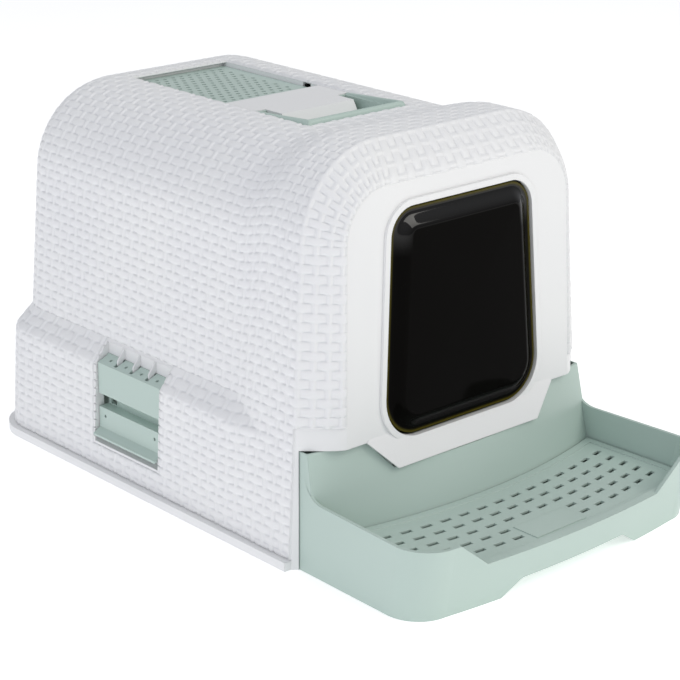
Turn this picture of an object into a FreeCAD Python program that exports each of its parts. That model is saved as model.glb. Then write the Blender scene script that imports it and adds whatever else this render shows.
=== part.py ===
"""Covered litter box: a white hood over a green drawer with an entry porch.

Millimetres. +X is the right of the box, +Y its back, +Z up. The origin lies on the floor under
the middle of the box, and the door and the porch face -Y.
"""
import FreeCAD, Part
import math
import os
import types

import Sketcher

Vector = FreeCAD.Vector

# Driving sizes of the box
SIZES = {
    # Hood: overall sizes, wall, foot rim, skirt, shoulder and roof
    "hood_length": 480.0,
    "hood_width": 400.0,
    "hood_height": 380.0,
    "hood_wall": 3.0,
    "rim_reach": 8.0,
    "rim_height": 9.0,
    "skirt_lean": 4.5,
    "shoulder_low": 115.0,
    "shoulder_high": 137.0,
    "shoulder_reach": 16.5,
    "rear_shoulder_reach": 11.0,
    "shoulder_sink": 0.8,
    "side_lean": 15.5,
    "rear_lean": 7.0,
    "crown_radius": 88.0,
    "rear_round": 40.0,
    "plan_round": 44.0,
    # Hood: flared front with its leaning, bulging face
    "bezel_flare": 12.0,
    "bezel_proud": 0.6,
    "bezel_side_lean": 31.0,
    "bezel_crown_radius": 88.0,
    "skirt_fade": 6.5,
    "bezel_length": 48.0,
    "bezel_fade": 62.0,
    "strip_start": 14.2,
    "strip_pitch": 8.3,
    "joint_width": 1.4,
    "joint_depth": 1.0,
    "front_setback": 16.0,
    "front_bulge": 29.5,
    "panel_inset_low": 49.5,
    "panel_inset_high": 60.0,
    "panel_top": 346.0,
    "panel_round": 48.0,
    # Hood: doorway and its raised rim
    "door_top": 324.0,
    "door_foot": 106.0,
    "door_width_high": 179.4,
    "door_width_low": 205.4,
    "door_round_high": 28.0,
    "door_round_low": 40.0,
    "door_rim_width": 6.0,
    "door_rim_height": 2.5,
    # Hood: drawer mouth and the sill above it
    "sill_width": 185.6,
    "sill_height": 83.8,
    "sill_reach": 10.5,
    "sill_fade": 32.0,
    "mouth_post_low": 13.0,
    "mouth_post_high": 19.0,
    "mouth_height": 113.0,
    "mouth_step_width": 240.0,
    # Hood: top recess for grille, handle and finger cup
    "recess_width": 124.0,
    "recess_front": 125.0,
    "cup_length": 80.0,
    "deck_length": 45.0,
    "grille_length": 152.0,
    "ledge_width": 4.0,
    "grille_drop": 5.0,
    "fit_gap": 0.4,
    # Door flap
    "flap_gap": 2.0,
    "flap_thickness": 2.5,
    "flap_border": 13.0,
    "flap_bulge": 7.0,
    "pivot_drop": 31.0,
    "pivot_radius": 2.2,
    "pivot_reach": 5.0,
    "pivot_depth": 4.0,
    "hub_wall": 1.8,
    "hub_length": 14.0,
    "pivot_clearance": 0.08,
    "socket_wall": 3.0,
    # Drawer: pan with its rim
    "drawer_wall": 2.5,
    "drawer_gap": 0.9,
    "pan_side_gap": 30.0,
    "pan_height": 89.5,
    "pan_rim_reach": 8.0,
    "pan_rear_gap": 9.0,
    "pan_round": 40.0,
    # Drawer: porch and sloping front wall
    "porch_reach": 177.0,
    "porch_inset": 10.0,
    "porch_height": 70.0,
    "porch_side_draft": 1.5,
    "porch_front_draft": 7.0,
    "porch_bow": 16.5,
    "porch_round": 36.0,
    "porch_wall": 3.5,
    "porch_floor": 17.0,
    "cheek_reach": 6.0,
    "cheek_round": 25.0,
    "lip_height": 43.0,
    "lip_width": 9.0,
    "lip_span": 228.0,
    "lip_slope": 34.0,
    "chute_foot": 51.5,
    "chute_foot_bow": 28.0,
    "chute_head": 27.0,
    "chute_head_bow": 21.0,
    "notch_width": 184.0,
    "notch_slope": 24.0,
    "notch_round": 11.0,
    "notch_height": 14.5,
    # Step grid
    "grid_top": 37.5,
    "grid_thickness": 3.0,
    "grid_gap": 1.8,
    "grid_seat": 4.0,
    "grid_border": 8.0,
    "field_sink": 0.8,
    "slot_length": 12.0,
    "slot_width": 4.6,
    "slot_pitch": 22.5,
    "row_inset": 24.5,
    "row_pitch": 17.0,
    "row_bow": 25.0,
    "pad_width": 66.0,
    "pad_length": 30.0,
    "pad_inset": 13.0,
    # Vent grille
    "grille_thickness": 3.0,
    "vent_hole": 4.6,
    "vent_pitch": 10.4,
    "vent_border": 7.0,
    "hinge_pin_radius": 1.4,
    "hinge_pin_reach": 2.4,
    "finger_notch_length": 12.0,
    "finger_notch_reach": 5.0,
    # Filter pad
    "filter_thickness": 11.0,
    # Carry handle and finger cup
    "handle_thickness": 3.0,
    "tongue_width": 93.0,
    "tongue_reach": 24.0,
    "tongue_facet": 10.0,
    "tongue_depth": 16.0,
    "cup_depth": 36.0,
    "cup_wall": 2.4,
    "cup_taper": 6.0,
    # Side latches and their pockets
    "latch_front": 199.0,
    "latch_length": 100.0,
    "latch_sheet": 2.4,
    "latch_gap": 1.2,
    "latch_bend": 116.5,
    "latch_foot": 48.0,
    "latch_tab_rise": 3.5,
    "latch_face_inset": 1.5,
    "channel_top": 84.0,
    "channel_bottom": 70.0,
    "channel_depth": 14.0,
    "lip_reach": 8.0,
    "lip_drop": 5.0,
    "pocket_foot": 34.0,
    "pocket_depth": 1.5,
    "pin_radius": 2.2,
    "pin_reach": 2.6,
    "rib_thickness": 2.0,
    "dot_radius": 1.6,
    # Every cut runs past the solid by this much
    "overrun": 20.0,
}

doc = FreeCAD.newDocument("covered_litter_box")
sheet = doc.addObject("Spreadsheet::Sheet", "sizes")
for row, (alias, value) in enumerate(SIZES.items(), start=1):
    sheet.set(f"A{row}", alias)
    sheet.set(f"B{row}", str(value))
    sheet.setAlias(f"B{row}", alias)
doc.recompute()
S = types.SimpleNamespace(**{alias: float(sheet.get(alias)) for alias in SIZES})

# Places that several pieces share
front = (S.porch_reach - S.hood_length) / 2
rear = front + S.hood_length
lean = S.front_setback / S.hood_height
hood_half = S.hood_width / 2
skirt_half = hood_half - S.rim_reach
shoulder_half = skirt_half - S.skirt_lean
body_half = shoulder_half - S.shoulder_reach
body_top = S.hood_height - S.bezel_flare
skirt_rear = rear - S.rim_reach
body_rear = skirt_rear - S.skirt_lean - S.rear_shoulder_reach
recess_half = S.recess_width / 2
recess_front = front + S.recess_front
deck_front = recess_front + S.cup_length
deck_rear = deck_front + S.deck_length
recess_rear = deck_rear + S.grille_length
grille_top = body_top - S.grille_drop
grille_seat = grille_top - S.grille_thickness
grille_bed = grille_seat - S.fit_gap
well_floor = grille_bed - S.filter_thickness - S.fit_gap
deck_seat = body_top - S.handle_thickness
porch_front = front - S.porch_reach
porch_half = hood_half - S.porch_inset
grid_bottom = S.grid_top - S.grid_thickness
grid_ledge = grid_bottom - S.fit_gap
pivot_height = S.door_top - S.pivot_drop
latch_rear = S.latch_front + S.latch_length


def mix(start, end, share):
    """Value the given share of the way from start to end."""
    return start + (end - start) * share


def eased(share):
    """Share that starts and ends with no slope."""
    return share * share * (3 - 2 * share)


def outline(start, *moves):
    """Closed wire from start: a point is reached by a line, a (middle, end) pair by an arc."""
    edges = []
    here = start
    for move in moves:
        if isinstance(move, tuple):
            edges.append(Part.Arc(here, move[0], move[1]).toShape())
            here = move[1]
        else:
            edges.append(Part.makeLine(here, move))
            here = move
    edges.append(Part.makeLine(here, start))
    return Part.Wire(edges)


def prism(wire, reach):
    """Solid made by moving a closed wire along a vector."""
    return Part.Face(wire).extrude(reach)


def block(low, high):
    """Box between two corners."""
    span = high.sub(low)
    return Part.makeBox(span.x, span.y, span.z, low)


def rounded_corner(before, corner, after, radius):
    """Start, middle and end of the arc that rounds a corner between two straight runs."""
    back = before.sub(corner).normalize()
    ahead = after.sub(corner).normalize()
    half_turn = back.getAngle(ahead) / 2
    reach = radius / math.tan(half_turn)
    middle_way = back.add(ahead).normalize()
    middle = corner.add(middle_way * (radius / math.sin(half_turn) - radius))
    return corner.add(back * reach), middle, corner.add(ahead * reach)


def rounded_outline(corners, radii):
    """Closed wire through corners, each rounded by its own radius, or sharp where that is 0."""
    count = len(corners)
    stops = []
    for index, (corner, radius) in enumerate(zip(corners, radii)):
        if radius:
            following = corners[(index + 1) % count]
            start, middle, end = rounded_corner(corners[index - 1], corner, following, radius)
            stops.append(start)
            stops.append((middle, end))
        else:
            stops.append(corner)
    return outline(*stops)


def add_piece(label, shape):
    """Document object that holds one finished piece."""
    piece = doc.addObject("Part::Feature", label)
    piece.Label = label
    piece.Shape = shape.removeSplitter()
    piece.Placement = FreeCAD.Placement()
    return piece


# Hood: the outer form, and the same form drawn in by the wall for the inside

def arch(foot, low_half, high_half, top, radius, floor, slope):
    """Arched section: leaning sides, round crown corners and a flat roof, in a plane leaning by slope."""
    def at(x, z):
        return Vector(x, foot + slope * z, z)
    corners = [at(-low_half, floor), at(low_half, floor), at(high_half, top), at(-high_half, top)]
    return rounded_outline(corners, [0, 0, radius, radius])


def skirt_plan(half, back, radius, height, start, draw=0):
    """Plan of the skirt at one height: rounded at the back corners, drawn in at the front end."""
    fade = start + S.bezel_fade
    corners = [
        Vector(draw - half, start, height),
        Vector(half - draw, start, height),
        Vector(half, fade, height),
        Vector(half, back, height),
        Vector(-half, back, height),
        Vector(-half, fade, height),
    ]
    return rounded_outline(corners, [0, 0, 0, radius, radius, 0])


side_slope = S.side_lean / (body_top - S.shoulder_high)


def form_floor(inset):
    """Foot of the hood's form: the inside runs past the floor."""
    return -S.overrun if inset else 0


def body_halves(inset):
    """Half widths of the upper body, carried on to the floor and to the roof, drawn in by inset."""
    return body_half - inset + side_slope * S.shoulder_high, body_half - inset - S.side_lean


def wall_forms(inset):
    """Skirt with its shoulder, and upper body, drawn in by inset."""
    start = front + S.bezel_length / 2
    round_plan = S.plan_round - inset
    plans = [
        skirt_plan(skirt_half - inset, skirt_rear - inset, round_plan, form_floor(inset), start),
        skirt_plan(shoulder_half - inset, skirt_rear - S.skirt_lean - inset, round_plan, S.shoulder_low,
                   start, S.skirt_fade),
        skirt_plan(body_half - S.shoulder_sink - inset, body_rear - S.shoulder_sink - inset,
                   S.rear_round - inset, S.shoulder_high, start),
    ]
    skirt = Part.makeLoft(plans, True, True)

    body_low, body_high = body_halves(inset)
    body_wire = arch(start, body_low, body_high, body_top - inset, S.crown_radius - inset, 0, 0)
    body = prism(body_wire, Vector(0, S.hood_length, 0))
    rear_slope = S.rear_lean / (body_top - S.shoulder_high)
    rear_foot = body_rear - inset + rear_slope * S.shoulder_high
    reach = S.hood_length
    beyond = outline(
        Vector(-reach, rear_foot + rear_slope * S.overrun, -S.overrun),
        Vector(-reach, rear_foot - rear_slope * reach, reach),
        Vector(-reach, rear_foot + reach, reach),
        Vector(-reach, rear_foot + reach, -S.overrun),
    )
    body = body.cut(prism(beyond, Vector(2 * reach, 0, 0)))
    body = body.cut(block(Vector(-reach, front - reach, -reach),
                          Vector(reach, rear + reach, S.shoulder_low)))
    rear_edges = [
        edge for edge in body.Edges
        if min(vertex.Point.y for vertex in edge.Vertexes) > rear_foot - S.rear_lean - S.rear_shoulder_reach
        and max(vertex.Point.z for vertex in edge.Vertexes) > S.shoulder_high
    ]
    return skirt, body.makeFillet(S.rear_round - inset, rear_edges)


def hood_form(inset):
    """Solid form of the hood, drawn in by inset."""
    skirt, body = wall_forms(inset)
    return skirt.fuse([body, bezel_form(inset), front_form(inset)])


bezel_low = skirt_half + S.bezel_proud
bezel_high = bezel_low - S.bezel_side_lean
FADE_SHARES = (0.0, 0.2, 0.4, 0.6, 0.8, 1.0)


def bezel_form(inset):
    """Flare that swells from the upper body to the front edge."""
    sections = []
    floor = form_floor(inset)
    body_low, body_high = body_halves(inset)
    back = front + S.bezel_length + S.bezel_fade
    for share in FADE_SHARES:
        swell = eased(share)
        sections.append(arch(
            back - S.bezel_fade * share,
            mix(body_low - S.bezel_proud, bezel_low - inset, swell),
            mix(body_high - S.bezel_proud, bezel_high - inset, swell),
            mix(body_top - inset - S.bezel_proud, S.hood_height - inset, swell),
            mix(S.crown_radius, S.bezel_crown_radius, swell) - inset,
            floor, 0))
    flare = Part.makeLoft(sections, True, False)
    crest = arch(front + S.bezel_length, bezel_low - inset, bezel_high - inset, S.hood_height - inset,
                 S.bezel_crown_radius - inset, floor, 0)
    edge = arch(front, bezel_low - inset, bezel_high - inset, S.hood_height - inset,
                S.bezel_crown_radius - inset, floor, lean)
    return flare.fuse(Part.makeLoft([crest, edge], True, True))


# Inward and forward shares of the bulging front, from its outer edge to the flat middle panel
BULGE_SHARES = ((0.0, 0.0), (0.22, 0.28), (0.48, 0.57), (0.76, 0.85), (1.0, 1.0))


def front_form(inset):
    """Bulging front between the outer edge and the flat panel."""
    sections = []
    for inward_share, forward_share in BULGE_SHARES:
        sections.append(arch(
            front - (S.front_bulge - inset) * forward_share,
            mix(bezel_low, hood_half - S.panel_inset_low, inward_share) - inset,
            mix(bezel_high, hood_half - S.panel_inset_high, inward_share) - inset,
            mix(S.hood_height, S.panel_top, inward_share) - inset,
            mix(S.bezel_crown_radius, S.panel_round, inward_share) - inset,
            form_floor(inset), lean))
    return Part.makeLoft(sections, True, False)


def panel_y(height):
    """Place of the flat front panel at one height."""
    return front - S.front_bulge + lean * height


def door_wire(grow, depth):
    """Doorway outline grown all round by grow, in the upright plane at depth."""
    top = S.door_top + grow
    foot = S.door_foot - grow
    high = S.door_width_high / 2 + grow
    low = S.door_width_low / 2 + grow
    corners = [
        Vector(-low, depth, foot),
        Vector(low, depth, foot),
        Vector(high, depth, top),
        Vector(-high, depth, top),
    ]
    low_round = S.door_round_low + grow
    high_round = S.door_round_high + grow
    return rounded_outline(corners, [low_round, low_round, high_round, high_round])


def panel_slab(ahead, behind):
    """Leaning slab between two planes parallel to the front panel."""
    low, high = -S.overrun, S.hood_height + S.overrun
    side = S.hood_width
    wire = outline(
        Vector(-side, panel_y(low) - ahead, low),
        Vector(-side, panel_y(high) - ahead, high),
        Vector(-side, panel_y(high) + behind, high),
        Vector(-side, panel_y(low) + behind, low),
    )
    return prism(wire, Vector(2 * side, 0, 0))


def mouth_half(height):
    """Half the width of the drawer mouth at one height."""
    return hood_half - mix(S.mouth_post_low, S.mouth_post_high, height / S.mouth_height)


def mouth_wire(gap, depth):
    """Drawer mouth in the hood's front, drawn in by gap."""
    top = S.mouth_height - gap
    step = S.mouth_step_width / 2
    sill = S.sill_width / 2
    low_half = mouth_half(-S.overrun) - gap
    high_half = mouth_half(S.mouth_height) - gap
    return outline(
        Vector(-low_half, depth, -S.overrun),
        Vector(-high_half, depth, top),
        Vector(-step, depth, top),
        Vector(-sill, depth, S.sill_height - gap),
        Vector(sill, depth, S.sill_height - gap),
        Vector(step, depth, top),
        Vector(high_half, depth, top),
        Vector(low_half, depth, -S.overrun),
    )


def sill_apron():
    """Lower lip of the front, which flares forward over the drawer mouth."""
    step = S.mouth_step_width / 2 + S.hood_wall
    sill = S.sill_width / 2
    head = S.sill_height + S.sill_fade
    inward = S.hood_wall / S.sill_fade * (step - sill)
    ahead = panel_y(S.sill_height) - S.sill_reach
    face = outline(
        Vector(-sill, ahead - S.overrun, S.sill_height),
        Vector(sill, ahead - S.overrun, S.sill_height),
        Vector(step, ahead - S.overrun, S.mouth_height),
        Vector(step - inward, ahead - S.overrun, head),
        Vector(inward - step, ahead - S.overrun, head),
        Vector(-step, ahead - S.overrun, S.mouth_height),
    )
    wedge = outline(
        Vector(-step, ahead, S.sill_height),
        Vector(-step, panel_y(head), head),
        Vector(-step, panel_y(head) + S.hood_wall, head),
        Vector(-step, ahead + S.hood_wall, S.sill_height),
    )
    depth = S.overrun + S.sill_reach + S.overrun
    return prism(face, Vector(0, depth, 0)).common(prism(wedge, Vector(2 * step, 0, 0)))


def recess_tub():
    """Block under the roof that carries the grille, the handle and the finger cup."""
    wall = S.hood_wall
    tub = block(Vector(-recess_half - wall, recess_front - wall, well_floor - wall),
                Vector(recess_half + wall, recess_rear + wall, body_top - wall / 2))
    return tub


def recess_cuts():
    """Voids of the top recess: filter well, grille bed with finger notches, handle deck and cup opening."""
    ledge = S.ledge_width
    high = body_top + S.overrun
    well = block(Vector(ledge - recess_half, deck_rear + ledge, well_floor),
                 Vector(recess_half - ledge, recess_rear - ledge, high))
    lid_bed = block(Vector(-recess_half, deck_rear, grille_bed), Vector(recess_half, recess_rear, high))
    deck = block(Vector(-recess_half, recess_front, deck_seat), Vector(recess_half, deck_rear, high))
    shaft = block(Vector(ledge - recess_half, recess_front + ledge, well_floor - S.overrun),
                  Vector(recess_half - ledge, deck_front, high))
    notch_reach = recess_half + S.finger_notch_reach
    notch_start = deck_rear + S.finger_notch_length
    notch = block(Vector(-notch_reach, notch_start, grille_bed),
                  Vector(notch_reach, notch_start + S.finger_notch_length, high))
    return [well, lid_bed, deck, shaft, notch, hinge_sockets()] + well_slots()


grille_axis_y = deck_rear + S.fit_gap + S.grille_thickness / 2
grille_axis_z = grille_seat + S.grille_thickness / 2


def hinge_sockets():
    """Bore across the recess for the grille's stub pins."""
    reach = S.fit_gap / 2 + S.hinge_pin_reach
    bore = S.hinge_pin_radius + S.pivot_clearance
    start = Vector(-recess_half - reach, grille_axis_y, grille_axis_z)
    return Part.makeCylinder(bore, 2 * (recess_half + reach), start, Vector(1, 0, 0))


def well_slots():
    """Long air slots in the floor of the filter well."""
    bar = S.slot_width
    near = deck_rear + S.ledge_width + bar
    far = recess_rear - S.ledge_width - bar
    count = int((recess_half - S.ledge_width) / bar)
    start = -(2 * count - 1) * bar / 2
    slots = []
    for index in range(count):
        left = start + 2 * bar * index
        slots.append(block(Vector(left, near, well_floor - S.overrun),
                           Vector(left + bar, far, well_floor + S.overrun)))
    return slots


latch_face = shoulder_half - S.latch_face_inset
latch_y = (front + S.latch_front, front + latch_rear)
pin_x = body_half - S.hood_wall / 2 + S.pin_radius
pin_z = S.latch_bend + S.latch_tab_rise


def pocket_back(side):
    """Wall behind one latch: upright at the shoulder, with side cheeks, and open to the outside."""
    wall = S.hood_wall
    gap = S.latch_gap + wall
    inner = latch_face - S.latch_sheet - S.pocket_depth - wall
    crown = body_half - wall
    profile = outline(
        Vector(side * inner, latch_y[0] - gap, S.pocket_foot - wall),
        Vector(side * skirt_half, latch_y[0] - gap, S.pocket_foot - wall),
        Vector(side * shoulder_half, latch_y[0] - gap, S.shoulder_low),
        Vector(side * body_half, latch_y[0] - gap, S.shoulder_high),
        Vector(side * crown, latch_y[0] - gap, S.shoulder_high),
        Vector(side * crown, latch_y[0] - gap, pin_z - S.pin_radius - 2 * wall),
        Vector(side * inner, latch_y[0] - gap, pin_z - S.pin_radius - 2 * wall - S.pocket_depth),
    )
    return prism(profile, Vector(0, S.latch_length + 2 * gap, 0))


def pocket_void(side):
    """Room for one latch inside its pocket."""
    gap = S.latch_gap
    inner = latch_face - S.latch_sheet - S.pocket_depth
    beyond = hood_half + S.overrun
    floor = pin_z - S.pin_radius - S.hood_wall
    profile = outline(
        Vector(side * inner, latch_y[0] - gap, S.pocket_foot),
        Vector(side * beyond, latch_y[0] - gap, S.pocket_foot),
        Vector(side * beyond, latch_y[0] - gap, S.shoulder_high),
        Vector(side * body_half, latch_y[0] - gap, S.shoulder_high - S.pin_radius),
        Vector(side * body_half, latch_y[0] - gap, floor),
        Vector(side * inner, latch_y[0] - gap, floor - S.pocket_depth),
    )
    return prism(profile, Vector(0, S.latch_length + 2 * gap, 0))


def pocket_window(side):
    """Opening in the pocket wall where the latch's hook reaches in under the pan rim."""
    gap = 2 * S.latch_gap
    near = latch_face - S.overrun - S.channel_depth
    corners = sorted((side * near, side * hood_half))
    return block(Vector(corners[0], latch_y[0] - S.latch_gap, S.channel_bottom - gap - S.latch_sheet),
                 Vector(corners[1], latch_y[1] + S.latch_gap, S.channel_top + gap + S.latch_sheet))


def rib_places():
    """Middle of each of the three ribs, and so of the slots between the four latch tabs."""
    return [mix(latch_y[0], latch_y[1], share) for share in RIB_SHARES]


RIB_SHARES = (0.25, 0.5, 0.75)
RIB_HEAD_SHARE = 0.55


def pocket_ribs(side):
    """Three-cornered ribs over the latch tabs, flush with the slope of the shoulder."""
    ribs = []
    foot = pin_z - S.pin_radius
    outer = mix(body_half, shoulder_half, RIB_HEAD_SHARE)
    slope_z = mix(S.shoulder_high, S.shoulder_low, RIB_HEAD_SHARE)
    for place in rib_places():
        start = place - S.rib_thickness / 2
        profile = outline(
            Vector(side * (body_half - S.hood_wall / 2), start, foot),
            Vector(side * (body_half - S.hood_wall / 2), start, S.shoulder_high - S.pin_radius),
            Vector(side * body_half, start, S.shoulder_high - S.pin_radius),
            Vector(side * outer, start, slope_z - S.pin_radius),
            Vector(side * outer, start, foot),
        )
        ribs.append(prism(profile, Vector(0, S.rib_thickness, 0)))
    bore = Part.makeCylinder(S.pin_radius + S.fit_gap, S.latch_length,
                             Vector(side * pin_x, latch_y[0], pin_z), Vector(0, 1, 0))
    return [rib.cut(bore) for rib in ribs]


def latch_sockets(side):
    """Bore along the pocket for the latch's stub pins."""
    reach = S.latch_gap + S.pin_reach
    return Part.makeCylinder(S.pin_radius + S.pivot_clearance, S.latch_length + 2 * reach,
                             Vector(side * pin_x, latch_y[0] - reach, pin_z), Vector(0, 1, 0))


pivot_y = panel_y(pivot_height) + S.pivot_depth


def door_half(height, gap):
    """Half the width of the doorway, drawn in by gap, at a height beside its upper round corner."""
    drop = S.door_top - gap - height
    straight = mix(S.door_width_high, S.door_width_low, drop / (S.door_top - S.door_foot)) / 2 - gap
    radius = S.door_round_high - gap
    over = max(radius - drop, 0)
    return straight - radius + math.sqrt(radius * radius - over * over)


pivot_half = door_half(pivot_height, 0)
socket_radius = S.pivot_radius + S.pivot_clearance + S.socket_wall


def flap_sockets():
    """Two bosses behind the front panel that carry the flap's stub pins."""
    bosses = []
    for side in (-1, 1):
        start = Vector(side * (pivot_half + S.flap_gap), pivot_y, pivot_height)
        boss = Part.makeCylinder(socket_radius, S.pivot_reach + S.socket_wall, start, Vector(side, 0, 0))
        bosses.append(boss.common(panel_slab(0, S.overrun)))
    return bosses


def flap_bores():
    """Bore through both bosses for the flap's stub pins."""
    half = pivot_half + S.flap_gap + S.pivot_reach
    return Part.makeCylinder(S.pivot_radius + S.pivot_clearance, 2 * half,
                             Vector(-half, pivot_y, pivot_height), Vector(1, 0, 0))


def foot_rim():
    """Flat rim round the foot of the hood, open in front."""
    outer = skirt_plan(hood_half, rear, S.plan_round + S.rim_reach, 0, front)
    inner = skirt_plan(skirt_half - S.hood_wall, skirt_rear - S.hood_wall, S.plan_round - S.hood_wall,
                       -S.overrun, front - S.overrun)
    rim = prism(outer, Vector(0, 0, S.rim_height))
    return rim.cut(prism(inner, Vector(0, 0, S.rim_height + 2 * S.overrun)))


weave_start = front + S.bezel_length + S.bezel_fade
weave_end = rear + S.overrun
crown_tilt = math.atan(side_slope)
crown_hub = Vector(body_halves(0)[1] - S.crown_radius / math.tan(math.pi / 4 + crown_tilt / 2), weave_start,
                   body_top - S.crown_radius)
round_end = S.rear_round - 2 * S.joint_width


def level_joint(height):
    """Slab between two strips of the walls."""
    half = S.joint_width / 2
    return [block(Vector(-S.hood_width, weave_start, height - half),
                  Vector(S.hood_width, weave_end, height + half))]


def crown_joint(turn):
    """Slabs between two strips of the crown, turned about its hub, right and left."""
    half = S.joint_width / 2
    slab = block(Vector(crown_hub.x + S.crown_radius - round_end, weave_start, crown_hub.z - half),
                 Vector(crown_hub.x + S.crown_radius + S.overrun, weave_end, crown_hub.z + half))
    slab.rotate(crown_hub, Vector(0, 1, 0), -math.degrees(turn))
    return [slab, slab.mirror(Vector(0, 0, 0), Vector(1, 0, 0))]


def roof_joint(aside):
    """Slabs between two strips of the roof, right and left, that leave out the recess."""
    half = S.joint_width / 2
    runs = [(weave_start, weave_end)]
    if aside < recess_half + S.ledge_width:
        runs = [(weave_start, recess_front - S.ledge_width), (recess_rear + S.ledge_width, weave_end)]
    return [
        block(Vector(side * aside - half, start, body_top - round_end),
              Vector(side * aside + half, end, body_top + S.overrun))
        for side in (-1, 1) for start, end in runs
    ]


def weave_joints():
    """Grooves between the strips of the basket weave, all one depth under the surface."""
    crown_foot = crown_hub.z + S.crown_radius * math.sin(crown_tilt)
    roof_start = crown_foot + S.crown_radius * (math.pi / 2 - crown_tilt)
    roof_end = roof_start + crown_hub.x - S.strip_pitch / 4
    slabs = []
    place = S.strip_start
    while place < roof_end:
        if place < crown_foot:
            slabs += level_joint(place)
        elif place < roof_start:
            slabs += crown_joint(crown_tilt + (place - crown_foot) / S.crown_radius)
        else:
            slabs += roof_joint(crown_hub.x - (place - roof_start))
        place += S.strip_pitch
    skirt, body = wall_forms(S.joint_depth)
    return Part.makeCompound(slabs).cut(skirt.fuse(body))


def hood_shell():
    """White hood: walls, doorway, drawer mouth, top recess, latch pockets and flap bosses."""
    shell = hood_form(0).cut(hood_form(S.hood_wall))
    ahead = front - S.porch_reach
    mouth_depth = S.porch_reach + S.bezel_length
    rim_ring = prism(door_wire(S.door_rim_width, ahead), Vector(0, S.porch_reach * 2, 0))
    rim_ring = rim_ring.common(panel_slab(S.door_rim_height, S.hood_wall / 2))
    shell = shell.cut(prism(mouth_wire(0, ahead), Vector(0, mouth_depth, 0)))
    shell = shell.fuse([rim_ring, sill_apron(), recess_tub(), foot_rim()])
    shell = shell.fuse([pocket_back(-1), pocket_back(1)])
    doorway = prism(door_wire(0, ahead), Vector(0, S.porch_reach + S.bezel_length, 0))
    cuts = [doorway] + recess_cuts()
    for side in (-1, 1):
        cuts += [pocket_void(side), pocket_window(side)]
    shell = shell.cut(cuts)
    shell = shell.fuse(flap_sockets() + pocket_ribs(-1) + pocket_ribs(1))
    return shell.cut([flap_bores(), latch_sockets(-1), latch_sockets(1), weave_joints()])


hood = add_piece("hood_shell", hood_shell())


# Drawer: pan, sloping front wall and porch in one moulding

def porch_plan(inset, height, back):
    """Plan of the porch at one height: sides that spread to the front, round corners, bowed front edge."""
    mouth = mouth_half(min(height, S.mouth_height)) - S.drawer_gap - inset
    half = porch_half - S.porch_side_draft * (1 - height / S.porch_height) - inset
    nose = porch_front + S.porch_front_draft * (1 - height / S.lip_height) + inset
    radius = S.porch_round - inset
    turn = half - radius
    shoulder = nose + S.porch_bow * (turn / porch_half) ** 2
    diagonal = radius / math.sqrt(2)
    hub = shoulder + radius
    return outline(
        Vector(-mouth, back, height),
        Vector(-mouth, front - S.cheek_reach, height),
        Vector(-half, hub, height),
        (Vector(-turn - diagonal, hub - diagonal, height), Vector(-turn, shoulder, height)),
        (Vector(0, nose, height), Vector(turn, shoulder, height)),
        (Vector(turn + diagonal, hub - diagonal, height), Vector(half, hub, height)),
        Vector(mouth, front - S.cheek_reach, height),
        Vector(mouth, back, height),
    )


def chute_plan(nose, bow, height, back):
    """Plan of all that lies behind the sloping wall at one height."""
    half = porch_half
    return outline(
        Vector(-half, back, height),
        Vector(-half, nose + bow, height),
        (Vector(0, nose, height), Vector(half, nose + bow, height)),
        Vector(half, back, height),
    )


def behind_chute(shift, floor):
    """Solid behind the sloping front wall, moved back by shift."""
    back = front + S.bezel_length
    foot = front - S.chute_foot + shift
    head = front - S.chute_head + shift
    foot_z = grid_bottom - S.grid_seat
    rise = (S.mouth_height + S.overrun - foot_z) / (S.mouth_height - foot_z)
    over_head = mix(foot, head, rise)
    over_bow = mix(S.chute_foot_bow, S.chute_head_bow, rise)
    upright = Part.makeLoft([chute_plan(foot, S.chute_foot_bow, floor, back),
                             chute_plan(foot, S.chute_foot_bow, foot_z, back)], True, True)
    slope = Part.makeLoft([chute_plan(foot, S.chute_foot_bow, foot_z, back),
                           chute_plan(over_head, over_bow, S.mouth_height + S.overrun, back)], True, True)
    return upright.fuse(slope)


def porch_solid(inset, low, high, back):
    """Porch form between two heights, drawn in by inset."""
    return Part.makeLoft([porch_plan(inset, low, back), porch_plan(inset, high, back)], True, True)


def lip_room(inset, low, high, back):
    """Porch form drawn in by inset, and behind the wide front lip."""
    room = porch_solid(inset, low, high, back)
    behind_lip = room.translated(Vector(0, S.lip_width - S.porch_wall, 0))
    return room.common(behind_lip)


def wall_trim():
    """What the porch walls leave out above their rims: side dips and the low front lip."""
    side = S.hood_width
    cheek = front - S.cheek_reach
    high = S.mouth_height + S.overrun
    diagonal = S.cheek_round * (1 - 1 / math.sqrt(2))
    dip = outline(
        Vector(-side, cheek, high),
        Vector(-side, cheek, S.porch_height + S.cheek_round),
        (Vector(-side, cheek - diagonal, S.porch_height + diagonal),
         Vector(-side, cheek - S.cheek_round, S.porch_height)),
        Vector(-side, porch_front - S.overrun, S.porch_height),
        Vector(-side, porch_front - S.overrun, high),
    )
    lip = S.lip_span / 2
    far = porch_front - S.overrun
    lip_cut = outline(
        Vector(-lip, far, S.lip_height),
        Vector(lip, far, S.lip_height),
        Vector(lip + S.lip_slope, far, S.porch_height + S.fit_gap),
        Vector(-lip - S.lip_slope, far, S.porch_height + S.fit_gap),
    )
    lip_depth = S.overrun + S.porch_round + S.porch_bow
    return [prism(dip, Vector(2 * side, 0, 0)), prism(lip_cut, Vector(0, lip_depth, 0))]


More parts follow.
